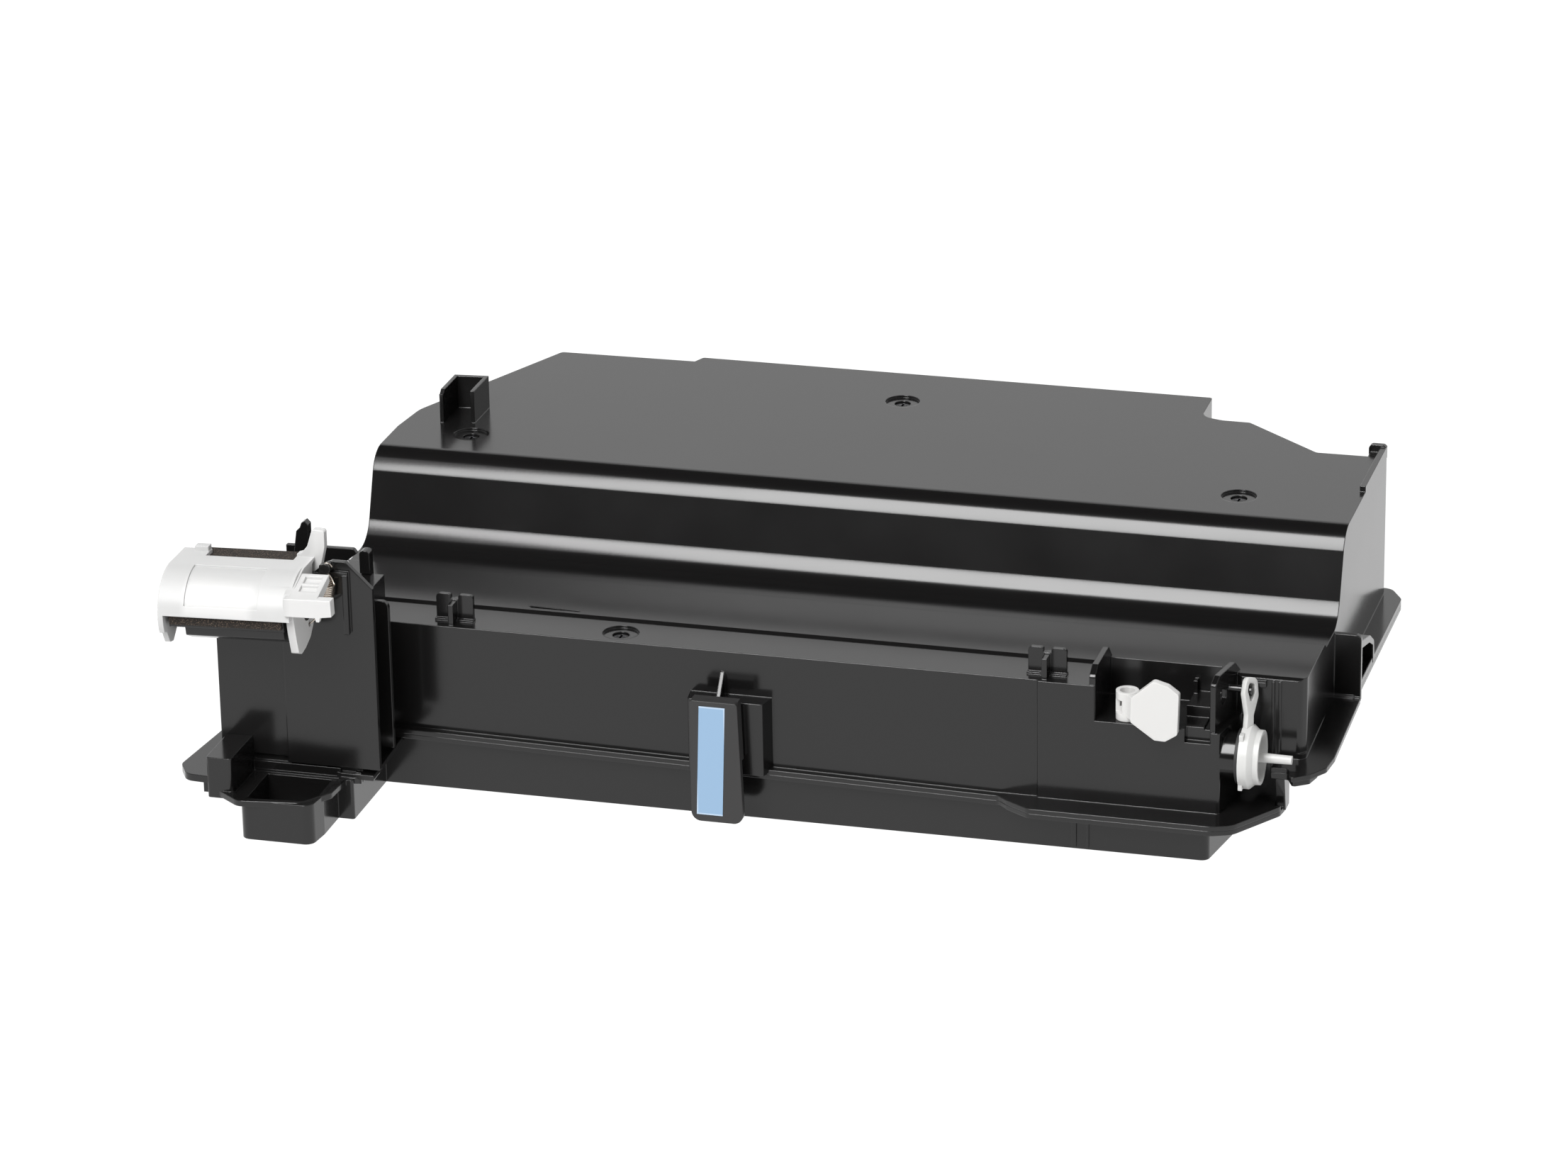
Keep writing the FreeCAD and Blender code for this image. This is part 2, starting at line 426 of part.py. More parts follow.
disc_outline = [(SHELL_FRONT + 2.2, AXIS_Z - 4.0, 2), (SHELL_FRONT + 4.2, AXIS_Z - 8.3, 1.2),
                (SHELL_FRONT + 7.0, AXIS_Z - 8.9, 1.2), (AXIS_Y - 0.8, AXIS_Z - 4.0, 3),
                (AXIS_Y + 5.8, AXIS_Z - 4.0, 4), (AXIS_Y + 8.2, AXIS_Z + 5.8, 5),
                (BAND_BACK - 1.2, SHELL_TOP - 1.2), (BAND_BACK, SHELL_TOP), (AXIS_Y, SHELL_TOP),
                (SHELL_FRONT - 11, SHELL_TOP), (SHELL_FRONT - 11, AXIS_Z - 4.0)]
round_clip = rod((-170, AXIS_Y, AXIS_Z), (1, 0, 0), SHELL_OUT, 80).fuse(
    block(-170, -90, AXIS_Y, BAND_BACK, AXIS_Z, SHELL_TOP))
disc_left = flat_x(disc_outline, SHUT_X0, SHUT_X0 + 1.6).common(round_clip.fuse(
    block(-170, -100, SHELL_FRONT + 2.0, AXIS_Y - 0.6, AXIS_Z - 10.2, AXIS_Z - 1.2)))
leg_outline = [(SHELL_FRONT + 2.1, AXIS_Z + 2.8), (SHELL_FRONT + 3.0, AXIS_Z - 3.2),
               (SHELL_FRONT + 4.6, AXIS_Z - 9.8, 1), (SHELL_FRONT + 6.8, AXIS_Z - 10.8, 1),
               (AXIS_Y - 3.0, AXIS_Z - 10.2, 1), (AXIS_Y + 1.6, AXIS_Z - 8.4, 1), (AXIS_Y + 4.8, AXIS_Z - 5.4, 2),
               (AXIS_Y + 6.4, AXIS_Z - 1.2, 3), (AXIS_Y + 6.4, AXIS_Z + 6.8, 3), (AXIS_Y + 7.4, SHELL_TOP - 1.3),
               (BAND_BACK, SHELL_TOP), (AXIS_Y, SHELL_TOP, 10), (SHELL_FRONT, AXIS_Z + 8.8, 3)]
disc_right = flat_x(leg_outline, SHUT_X1 - 2.4, SHUT_X1)
fin_right = flat_y([(-126.0, SHELL_TOP - 1.2), (-126.0, SHELL_TOP - 0.1), (-122.1, SHELL_TOP + 1.2),
                    (-120.2, SHELL_TOP + 3.4), (-118.4, SHELL_TOP + 8.6, 0.8), (-114.6, SHELL_TOP + 8.4, 0.8),
                    (-114.8, SHELL_TOP + 3.2), (-116.4, SHELL_TOP - 2.8), (-118.4, SHELL_TOP - 4.4),
                    (-120.6, SHELL_TOP - 4.4), (-120.6, SHELL_TOP - 1.2)], BAND_BACK - 2.4, BAND_BACK)
BLOCK_Z = AXIS_Z + 3.8
front_block = flat_y([(-119.9, BLOCK_Z), (-110.0, BLOCK_Z), (-105.2, BLOCK_Z + 0.6), (-105.2, BLOCK_Z + 5.6),
                      (-119.9, BLOCK_Z + 5.6)], SHELL_FRONT - 0.6, SHELL_FRONT + 2.6)
front_tooth = flat_y([(-110.5, BLOCK_Z + 0.5), (-110.0, BLOCK_Z - 1.2), (-109.1, BLOCK_Z - 1.2),
                      (-108.6, BLOCK_Z + 0.5)], SHELL_FRONT - 0.6, SHELL_FRONT + 1.0)
bracket_arm = flat_x([(SHELL_FRONT + 1.0, BLOCK_Z + 4.4), (SHELL_FRONT + 1.0, BLOCK_Z + 5.6),
                      (AXIS_Y - 1.2, SHELL_TOP - 1.0), (AXIS_Y - 1.2, SHELL_TOP - 3.2),
                      (SHELL_FRONT + 2.4, BLOCK_Z + 2.6)], SHUT_X1 - 0.6, -109.8)
arm_pocket = flat_x([(-45.0, 76.5), (-45.0, 78.4), (-42.0, 79.2), (-42.0, 77.4)], -116.6, -111.2)
arm_pocket = arm_pocket.fuse(flat_x([(-41.0, 77.6), (-41.0, 79.5), (-37.8, 80.5), (-37.8, 78.5)], -116.6, -111.2))
corner_tab = block(-155.8, -151.6, BAND_BACK - 2.6, BAND_BACK, SHELL_TOP - 1.2, SHELL_TOP + 1.6)
LEG_HOLE = (-33.8, 62.8)
HOOK_Z = LEG_HOLE[1] + 1.4
pin_hole = rod((-170, AXIS_Y, AXIS_Z), (1, 0, 0), 2.6 + SLIDE, 80)
leg_hole = rod((-130, LEG_HOLE[0], LEG_HOLE[1]), (1, 0, 0), 1.0, 20)
shutter = skin.cut([edge_step, pocket_arc])
shutter = shutter.fuse([disc_left, disc_right, fin_right, front_block, front_tooth, bracket_arm, corner_tab])
shutter = tip_nose(shutter.cut([arm_pocket, pin_hole, leg_hole]))

# Extension spring from the leg of the shutter up to the post of the tower.

WIRE_R = 0.27
COIL_R = 3.2
COILS = 10
TURN_STEPS = 8         # straight runs in each turn of the coil
coil_low, coil_high = V(-114.4, -32.2, 71.0), V(-113.7, -31.9, 77.0)
coil_way = coil_high - coil_low
coil_tilt = FreeCAD.Rotation(V(0, 0, 1), coil_way)


def coil_point(step):
    """Point of the coil after so many runs, counted from its lower end."""
    angle = 2 * math.pi * step / TURN_STEPS
    climb = coil_way.Length * step / (COILS * TURN_STEPS)
    return coil_low + coil_tilt.multVec(V(COIL_R * math.cos(angle), COIL_R * math.sin(angle), climb))


def bent_wire(points, radius, sides=4):
    """Solid of a wire with mitred bends; its section is a polygon."""
    path = Part.makePolygon(points)
    turn = FreeCAD.Rotation(V(0, 0, 1), points[1] - points[0])
    corners = [points[0] + turn.multVec(V(radius * math.cos(2 * math.pi * i / sides),
                                          radius * math.sin(2 * math.pi * i / sides), 0))
               for i in range(sides)]
    section = Part.makePolygon(corners + corners[:1])
    return path.makePipeShell([section], True, False, 1)


low_leg = [V(-121.2, LEG_HOLE[0], HOOK_Z + 0.3), V(-119.6, LEG_HOLE[0], HOOK_Z - 0.3),
           V(-117.5, LEG_HOLE[0], HOOK_Z + 0.2), V(-116.6, -33.4, 66.6), V(-113.4, -33.0, 69.2)]
high_leg = [V(-112.0, -31.2, 78.6), V(POST_AT[0] - 1.5, -30.6, 80.4), V(POST_AT[0] - 1.0, -30.4, 82.2),
            V(POST_AT[0] + 0.6, -30.2, 82.7), V(POST_AT[0] + 1.5, -30.1, 81.3)]
coil = [coil_point(i) for i in range(COILS * TURN_STEPS + 1)]
spring = bent_wire(low_leg + coil + high_leg, WIRE_R)

# Handle: front plate with a hollow tongue that snaps into the bracket of the cover.

handle_plate = flat_y([(-7.9, 41.3, 1), (6.8, 41.3, 1), (8.2, 2.6, 3), (-7.9, 2.6, 3)], -12.0, -9.8)
handle_top = flat_y([(-7.7, 41.2), (6.6, 41.2), (7.2, 22), (-7.7, 22)], -9.9, -7.0)
handle_top = handle_top.cut(block(-6.0, 4.8, -9.81, -5, 20, 39.4))
tongue = block(-6.6, 6.2, -9.9, -2.0, 17.7, 37.1).cut(block(-5.0, 4.6, -9.81, 0, 19.3, 35.5))
grip_ribs = [block(-6.6, 6.6, -9.9, -9.2, z, z + 0.8) for z in (5.6, 8.0, 10.4, 12.8)]
handle = handle_plate.fuse([handle_top, tongue] + grip_ribs)
label = flat_y([(-4.9, 39.7), (3.1, 39.7), (1.8, 4.8), (-6.2, 4.8)], -12.12, -12.0)

# Level flag outside, paddle inside the tank on the same shaft, felt seal in the bay floor.

flag_drum = rod((FLAG_X, FLAG_Y, BAY_Z + 0.1), (0, 0, 1), 3.4, 8.9)
flag_body = flat_y([(124.2, 44.0, 1), (131.4, 38.9, 1), (134.6, 38.8, 1), (138.2, 41.2, 1), (138.6, 53.8, 1),
                    (135.3, 56.2, 1), (131.0, 57.4, 1.5), (124.4, 51.6, 1)], -4.6, -2.2)
flag_arm = flat_z([(FLAG_X - 1.5, FLAG_Y - 1.0), (FLAG_X + 3.0, FLAG_Y + 1.5), (129.0, -1.0), (129.0, -2.4),
                   (124.4, -2.4)], 43.2, 50.6)
flag_window = block(FLAG_X - 4, FLAG_X - 0.9, -1.5, 2.6, 44.2, 48.4)
flag_stem = rod((FLAG_X, FLAG_Y, BAY_Z - 11.0), (0, 0, 1), FLAG_SHAFT_R, 11.5)
flag = flag_drum.fuse([flag_body, flag_arm, flag_stem]).cut(flag_window)
flag = flag.cut(rod((FLAG_X, FLAG_Y, BAY_Z + 4.0), (0, 0, 1), 2.2, 10))
paddle_hub = ring((FLAG_X, FLAG_Y, BAY_Z - 14.0), (0, 0, 1), 2.1, FLAG_SHAFT_R, 6.0)
paddle_cap = rod((FLAG_X, FLAG_Y, BAY_Z - 15.2), (0, 0, 1), 2.1, 4.2)
paddle_blade = block(FLAG_X - 0.8, FLAG_X + 0.8, FLAG_Y + 1.7, FLAG_Y + 17.0, BAY_Z - 24.0, BAY_Z - 9.0)
paddle = paddle_hub.fuse([paddle_cap, paddle_blade])
flag_felt = ring((FLAG_X, FLAG_Y, BAY_Z - 7.0), (0, 0, 1), FLAG_SEAL_R, FLAG_SHAFT_R + 0.02, 2.4)

# Sealing cap with its strap, and the seal ring under its flange.

SEAL_H = 1.2           # thickness of the cap's seal ring
FLANGE_AT = BOSS_OUT + SEAL_H
plug = rod((-3.6, 0, 0), (1, 0, 0), PORT_R - 0.03, FLANGE_AT + 4.0)
cup_profile = [(0, 0), (0, CAP_R), (2.6, CAP_R), (4.2, CAP_R - 1.4), (5.8, CAP_R - 1.5), (5.8, CAP_R - 2.6),
               (1.4, CAP_R - 2.9), (1.4, 0)]
cup = Part.Face(corner_wire(cup_profile, lambda u, v: V(FLANGE_AT + u, 0, v)))
cup = cup.revolve(V(0, 0, 0), V(1, 0, 0), 360)
stem = Part.makeCone(1.55, 1.3, 13.6, V(FLANGE_AT + 1.0, 0, 0), V(1, 0, 0))
stem = stem.cut(rod((FLANGE_AT + 8, 0, 0), (1, 0, 0), 0.75, 8))
thumb_tabs = [block(FLANGE_AT, FLANGE_AT + 1.2, -6.4, -4.0, CAP_R - 3.0, CAP_R - 0.6),
              block(FLANGE_AT, FLANGE_AT + 1.2, -7.4, -5.0, 1.6 - CAP_R, 3.6 - CAP_R)]
STRAP_FOOT = CAP_R - 0.8
EYE_AT = math.hypot(PEG_Y, PEG_Z - STRAP_FOOT)      # length of the strap up to the middle of its eye
strap = flat_x([(-1.7, -0.4), (1.7, -0.4), (1.5, EYE_AT - 7.4, 1.5), (3.5, EYE_AT - 1.5, 2.5),
                (2.6, EYE_AT + 3.6, 2.2), (-2.6, EYE_AT + 3.6, 2.2), (-3.5, EYE_AT - 1.5, 2.5),
                (-1.5, EYE_AT - 7.4, 1.5)], -STRAP_T / 2, STRAP_T / 2)
strap = strap.cut(flat_x([(0, EYE_AT - 4.4, 0.8), (1.9, EYE_AT - 0.6, 1.2), (1.7, EYE_AT + 1.9, 1.2),
                          (-1.7, EYE_AT + 1.9, 1.2), (-1.9, EYE_AT - 0.6, 1.2)], -3, 3))
strap.rotate(V(0, 0, 0), V(0, 0, 1), -STRAP_TURN)
strap.rotate(V(0, 0, 0), V(1, 0, 0), -math.degrees(math.atan2(PEG_Y, PEG_Z - STRAP_FOOT)))
strap.rotate(V(0, 0, 0), V(0, 1, 0), -3.0)
strap.translate(V(FLANGE_AT + 1.4, 0, STRAP_FOOT))
cap = on_end_wall(plug.fuse([cup, stem, strap] + thumb_tabs))
cap_ring = on_end_wall(ring((BOSS_OUT, 0, 0), (1, 0, 0), PORT_R + 2.2, PORT_R + 0.05, SEAL_H))

# Basin, feet and lobe of the tray in front of the tank.

foot = flat_z([(-113.4, -27), (-113.4, -42, 1.5), (-114.4, -50.7, 3), (-137, -50.7, 3), (-137.4, -27)], 0, 12.6)
foot_side = flat_z([(-108.4, 3), (-108.4, -29.5, 0.8), (-114.2, -29.5), (-114.2, 3)], 0, 12.6)
base_plate = flat_z([(-107.0, -27.6), (-110.6, -28.6, 1), (-111.4, -40.1, 2),
                     (-116.6, -47.6, 2), (-118.8, -49.6, 2), (-137.0, -52.1, 4), (-144.3, -46.6, 1),
                     (-150.5, -43), (-150.5, 2), (-106.4, 2)], 11.0, 12.8)
side_wing = flat_x([(-1, 15.6), (-1, 14.0), (-27.8, 12.4), (-27.8, 14.0)], -114.0, -102.4)
side_wing = side_wing.fuse(block(-108.2, -106.4, -27.6, 1, 11.0, 14.6))
left_box = flat_z([(-148.5, -46.4, 1), (-140.5, -46.4, 1), (-140.5, -25.9), (-148.5, -25.9)], 10.5, 23.4)
left_box = left_box.cut(block(-150, -139, FACE_Y + 0.7, 0, SEAM_LEFT - 0.05, 30))
lobe = flat_z([(-147, -5), (-156.4, -9.5, 3), (-159.4, -38.6, 4), (-155.4, -45.4, 4), (-147, -46.0)], 14.8, 17.0)
lobe = lobe.fuse(block(-150.5, -147.0, -44.0, -6.0, 11.0, 17.0))
back_wall = block(-148.0, -113.0, -27.4, -25.6, 11.0, 15.4)
SEAT_Y = FACE_Y + 1.9      # the seat starts just behind the tower's face plate
tower_seat = block(-150.5, -106.3, SEAT_Y, 2.0, 15.6, SEAM_LEFT)
seat_walls = [block(-150.5, -148.7, SEAT_Y, 2.0, 11.0, 16.0), block(-108.1, -106.3, SEAT_Y, 2.0, 11.0, 16.0),
              block(-150.5, -106.3, 0.2, 2.0, 11.0, 16.0),
              block(-150.5, -106.3, SEAT_Y, SEAT_Y + 1.6, 11.0, 17.0)]
basin_void = flat_z([(-115.2, -28.9), (-115.2, -41, 1.0), (-116.4, -48.7, 2), (-135.4, -48.7, 2),
                     (-135.6, -28.9)], WALL, 12.0)
basin_top = flat_z([(-113.0, -27.5), (-113.0, -40.6, 1.5), (-117.6, -47.6, 2), (-136.6, -49.8, 3),
                    (-140.5, -45.2), (-140.5, -27.5)], 11.0, 22)
basin_floor = flat_z([(-113.2, -27.0), (-113.2, -40.0), (-117, -47), (-136.6, -49), (-140.8, -45),
                      (-140.8, -27.0)], 11.0, 12.0)

tray = shell.common(below).fuse([front_low, rear_low, side_low, step_plate])
front_ribs = [block(105.7, 107.2, -0.8, 1, 0.8, SEAM_LOW), block(110.2, 111.0, -0.8, 1, 0.8, SEAM_LOW)]
tray = tray.fuse([foot, foot_side, base_plate, side_wing, left_box, lobe, back_wall, tower_seat])
tray = tray.fuse(seat_walls + front_ribs)
tray = tray.cut(basin_top).fuse(basin_floor).cut([basin_void])
tray = tray.fuse(tray_posts).cut(tray_cuts)

save("upper_cover", cover.removeSplitter())
save("lower_tray", tray.removeSplitter())
save("inlet_tower", tower.removeSplitter())
save("nose_seal", foam.removeSplitter())
save("shutter", shutter.removeSplitter())
save("shutter_spring", spring)
save("pull_handle", handle.removeSplitter())
save("handle_label", label)
save("level_flag", flag.removeSplitter())
save("level_paddle", paddle.removeSplitter())
save("flag_seal", flag_felt)
save("sealing_cap", cap.removeSplitter())
save("cap_seal", cap_ring)
for i, part in enumerate(screw_parts):
    save("cover_screw_%d" % (i + 1), part)
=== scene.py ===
# %% [markdown]
# # A toner collection unit in black gloss plastic
#
# The CAD frame already holds every piece at its true size, so this lesson is about looks: how the
# light of a white studio makes black plastic readable, how natural white plastic glows a little,
# and which small things (soft mould edges, foam grain, coil spring) sell the scale.
# Lengths are metres, +X is right, +Y is away from the handle and +Z is up.

# %% Kit and frame
import math

import bmesh
import bpy
from mathutils import Matrix, Vector


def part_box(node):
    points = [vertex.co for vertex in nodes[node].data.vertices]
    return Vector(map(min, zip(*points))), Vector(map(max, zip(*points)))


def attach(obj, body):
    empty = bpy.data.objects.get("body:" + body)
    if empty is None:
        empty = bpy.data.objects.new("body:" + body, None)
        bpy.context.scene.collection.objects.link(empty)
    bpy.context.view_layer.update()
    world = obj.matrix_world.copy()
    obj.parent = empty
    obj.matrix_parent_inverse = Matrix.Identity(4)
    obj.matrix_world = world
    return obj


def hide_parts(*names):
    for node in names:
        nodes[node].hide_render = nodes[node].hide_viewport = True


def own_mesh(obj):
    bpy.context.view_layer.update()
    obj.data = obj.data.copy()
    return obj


MM = 0.001
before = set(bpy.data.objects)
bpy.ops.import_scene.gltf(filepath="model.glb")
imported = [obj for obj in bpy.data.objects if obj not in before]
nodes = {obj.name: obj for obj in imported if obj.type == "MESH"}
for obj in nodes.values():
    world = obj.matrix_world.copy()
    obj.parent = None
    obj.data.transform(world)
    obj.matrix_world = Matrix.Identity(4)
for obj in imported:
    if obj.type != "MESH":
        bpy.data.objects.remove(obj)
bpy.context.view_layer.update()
print("pieces in the frame:", sorted(nodes))


# %% [markdown]
# ## Writing shader maths as plain expressions
#
# A material on this object is mostly a base colour with small changes over the surface. Wrapping a
# socket in a class with operators lets those changes be written as ordinary maths, so a reader
# sees the idea and not the node wiring.

# %% A socket that can be added and multiplied
class Shade:
    def __init__(self, tree, socket):
        self.tree = tree
        self.socket = socket

    def _math(self, operation, other, swap=False):
        node = self.tree.nodes.new("ShaderNodeMath")
        node.operation = operation
        for slot, value in enumerate((other, self) if swap else (self, other)):
            if isinstance(value, Shade):
                self.tree.links.new(value.socket, node.inputs[slot])
            else:
                node.inputs[slot].default_value = value
        return Shade(self.tree, node.outputs[0])

    def __add__(self, other):
        return self._math("ADD", other)

    __radd__ = __add__

    def __sub__(self, other):
        return self._math("SUBTRACT", other)

    def __rsub__(self, other):
        return self._math("SUBTRACT", other, swap=True)

    def __mul__(self, other):
        return self._math("MULTIPLY", other)

    __rmul__ = __mul__

    def __gt__(self, other):
        return self._math("GREATER_THAN", other)

    def __abs__(self):
        return self._math("ABSOLUTE", 0.0)

    def larger(self, other):
        return self._math("MAXIMUM", other)

    def clamp(self):
        node = self.tree.nodes.new("ShaderNodeClamp")
        self.tree.links.new(self.socket, node.inputs[0])
        return Shade(self.tree, node.outputs[0])


# %% A material that is built node by node
class Finish:
    def __init__(self, name, color, roughness, **fixed):
        self.mat = bpy.data.materials.new(name)
        self.mat.use_nodes = True
        self.tree = self.mat.node_tree
        self.bsdf = self.tree.nodes["Principled BSDF"]
        self.bsdf.inputs["Base Color"].default_value = (*color, 1)
        self.bsdf.inputs["Roughness"].default_value = roughness
        for key, value in fixed.items():
            self.bsdf.inputs[key.replace("_", " ")].default_value = value

    def node(self, kind, settings=None, **inputs):
        made = self.tree.nodes.new(kind)
        for key, value in (settings or {}).items():
            setattr(made, key, value)
        for key, value in inputs.items():
            socket = made.inputs[key.replace("_", " ")]
            if isinstance(value, Shade):
                self.tree.links.new(value.socket, socket)
            else:
                socket.default_value = value
        return made

    def place(self):
        return Shade(self.tree, self.node("ShaderNodeTexCoord").outputs["Object"])

    def along(self, axis):
        split = self.node("ShaderNodeSeparateXYZ", Vector=self.place())
        return Shade(self.tree, split.outputs[axis])

    def noise(self, scale, detail=3.0, roughness=0.5, stretch=(1, 1, 1)):
        mapped = self.node("ShaderNodeMapping", Vector=self.place(), Scale=stretch)
        made = self.node("ShaderNodeTexNoise", Vector=Shade(self.tree, mapped.outputs[0]), Scale=scale,
                         Detail=detail, Roughness=roughness)
        return Shade(self.tree, made.outputs["Fac"])

    def blend_color(self, factor, low, high):
        made = self.node("ShaderNodeMix", {"data_type": "RGBA"})
        self.tree.links.new(factor.socket, made.inputs["Factor"])
        made.inputs[6].default_value = (*low, 1)
        made.inputs[7].default_value = (*high, 1)
        self.tree.links.new(made.outputs[2], self.bsdf.inputs["Base Color"])

    def rough(self, value):
        self.tree.links.new(value.socket, self.bsdf.inputs["Roughness"])

    def soft_edges(self, radius):
        """Normals that turn smoothly round every sharp edge, as on a moulded piece."""
        made = self.node("ShaderNodeBevel", {"samples": 6}, Radius=radius)
        self.tree.links.new(made.outputs[0], self.bsdf.inputs["Normal"])
        return Shade(self.tree, made.outputs[0])

    def bump(self, height, strength, distance, over=None):
        made = self.node("ShaderNodeBump", Strength=strength, Distance=distance, Height=height)
        if over is not None:
            self.tree.links.new(over.socket, made.inputs["Normal"])
        self.tree.links.new(made.outputs[0], self.bsdf.inputs["Normal"])
        return Shade(self.tree, made.outputs[0])


# %% [markdown]
# ## Black gloss plastic
#
# The tank is moulded in black ABS. Its colour is almost nothing: what the eye reads is the pale
# studio mirrored in it, blurred a little by the mould's texture and by slow waves in the skin.
# A low roughness with a faint large bump gives both. Real moulds have no knife edges, and each
# rounded edge catches the lamp overhead as a thin bright line, so the Bevel node bends the
# normals there by a few tenths of a millimetre.

# %% Tank plastic
BLACK = (0.0062, 0.006, 0.006)
EDGE_ROUND = 0.45 * MM
HAZE_SCALE = 34.0      # blotches of about 30 mm
WAVE_SCALE = 9.0       # slow waves of about 110 mm
GRAIN_SCALE = 1400.0   # grain finer than a millimetre
tank_black = Finish("tank_plastic", BLACK, 0.16, IOR=1.5)
haze = tank_black.noise(HAZE_SCALE, 4.0)
tank_black.rough(haze * 0.08 + 0.12)
tank_edges = tank_black.soft_edges(EDGE_ROUND)
tank_waves = tank_black.bump(tank_black.noise(WAVE_SCALE, 2.0), 0.16, 0.0012, over=tank_edges)
tank_black.bump(tank_black.noise(GRAIN_SCALE, 2.0), 0.05, 0.00008, over=tank_waves)

# %% Handle plastic
handle_black = Finish("handle_plastic", (0.021, 0.0205, 0.0205), 0.46, IOR=1.5)
handle_edges = handle_black.soft_edges(EDGE_ROUND)
handle_black.bump(handle_black.noise(900.0, 2.0), 0.12, 0.0002, over=handle_edges)

# %% [markdown]
# ## Natural white plastics
#
# Shutter, flag and cap are unpainted white plastic. Light enters them and comes out a little way
# off, so edges look soft and thin walls glow. Subsurface scattering of one or two millimetres does
# that; the cap is clearer than the others and lets the dark wall behind it grey it down.

# %% White finishes
# The first white is the thin shell's, darkened as painted shade of the foam behind it
SHADED_THIN_WHITE = (0.485, 0.485, 0.482)
THICK_WHITE = (0.565, 0.563, 0.558)
WHITE_EDGE = 0.3 * MM
shutter_white = Finish("shutter_white", THICK_WHITE, 0.3, IOR=1.49, Subsurface_Weight=0.5,
                       Subsurface_Radius=(1.0, 1.0, 1.0), Subsurface_Scale=0.0012)
flag_white = Finish("flag_white", (0.57, 0.566, 0.556), 0.32, IOR=1.49, Subsurface_Weight=0.4,
                    Subsurface_Radius=(1.0, 1.0, 1.0), Subsurface_Scale=0.001)
cap_white = Finish("cap_white", (0.54, 0.54, 0.53), 0.34, IOR=1.45, Subsurface_Weight=0.7,
                   Subsurface_Radius=(1.0, 1.0, 1.0), Subsurface_Scale=0.0025)
for finish in (shutter_white, flag_white, cap_white):
    finish.bump(finish.noise(260.0, 2.0), 0.08, 0.0002, over=finish.soft_edges(WHITE_EDGE))

# %% [markdown]
# The shutter's middle is a thick panel and its bracket is solid, so both look whiter than the thin
# shell between them, which lets the dark foam through. That dimming is painted shade: the thin
# shell gets a darker base colour. Soft steps along X and Z pick them out.


# %% Thick panel and bracket, whiter than the thin shell
def from_step(place, start):
    """0 before the start, 1 a little after it, and soft in between."""
    return ((place - start) * (1 / PANEL_SOFT)).clamp()


def until_step(place, end):
    return ((end - place) * (1 / PANEL_SOFT)).clamp()


PANEL_SOFT = 2.4 * MM
PANEL_LEFT, PANEL_RIGHT = -153.6 * MM, -130.2 * MM
PANEL_BOTTOM, PANEL_TOP = 68.6 * MM, 79.6 * MM
BRACKET_LEFT = -120.6 * MM
on_x = shutter_white.along("X")
on_z = shutter_white.along("Z")
across_panel = from_step(on_x, PANEL_LEFT) * until_step(on_x, PANEL_RIGHT)
up_panel = from_step(on_z, PANEL_BOTTOM) * until_step(on_z, PANEL_TOP)
thick = (across_panel * up_panel).larger(from_step(on_x, BRACKET_LEFT))
# Painted shade: the thin shell gets the darker white, where the foam behind would dim it
shutter_white.blend_color(thick, SHADED_THIN_WHITE, THICK_WHITE)
print("panel is", round((PANEL_RIGHT - PANEL_LEFT) / MM, 1), "mm wide and",
      round((PANEL_TOP - PANEL_BOTTOM) / MM, 1), "mm high")

# %% [markdown]
# ## Foam, felt, rubber, steel and label film
#
# The nose wears brown-black foam whose open cells sparkle when lit from above; lighter speckles in
# its colour are partly its own grain and partly painted glints of that sparkle. The spring is bare
# wire, the screws are black zinc and the handle carries a pale blue film whose rim is painted
# lighter, a painted highlight where its cut edge catches the light.

# %% Small finishes
FOAM_DARK = (0.011, 0.008, 0.006)
FOAM_SPECKLE_AND_GLINT = (0.16, 0.115, 0.085)
foam = Finish("foam", FOAM_DARK, 0.95)
cells = foam.noise(2400.0, 3.0, 0.7)
# Lighter cells: partly the foam's own speckle, partly painted glints where its cells catch the lamp
foam.blend_color((cells * 5.0 - 2.6).clamp(), FOAM_DARK, FOAM_SPECKLE_AND_GLINT)
foam.bump(cells, 0.8, 0.0004)

felt = Finish("felt", (0.06, 0.06, 0.058), 0.95)
felt.bump(felt.noise(3000.0, 3.0), 0.6, 0.0003)
rubber = Finish("seal_rubber", (0.02, 0.02, 0.02), 0.6)
wire_steel = Finish("spring_steel", (0.56, 0.5, 0.44), 0.24, Metallic=1.0)
screw_black = Finish("screw_steel", (0.06, 0.06, 0.063), 0.3, Metallic=1.0)
screw_black.bump(screw_black.noise(1800.0, 2.0), 0.15, 0.0001, over=screw_black.soft_edges(0.25 * MM))

# %% Label film with a painted highlight along its rim
LABEL_RIM = 0.45 * MM
FILM_BLUE = (0.225, 0.345, 0.49)
RIM_HIGHLIGHT_BLUE = (0.38, 0.48, 0.6)
label_blue = Finish("label_film", FILM_BLUE, 0.42, IOR=1.46)
label_low, label_high = (Vector(corner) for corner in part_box("handle_label"))
label_mid = (label_low + label_high) / 2
label_half = (label_high - label_low) / 2
past_x = abs(label_blue.along("X") - label_mid.x) > label_half.x - LABEL_RIM
past_z = abs(label_blue.along("Z") - label_mid.z) > label_half.z - LABEL_RIM
# Painted highlight: the film's rim is painted lighter where its cut edge catches the light
label_blue.blend_color(past_x.larger(past_z), FILM_BLUE, RIM_HIGHLIGHT_BLUE)
print("label film, millimetres:", [round(2 * half / MM, 1) for half in label_half])

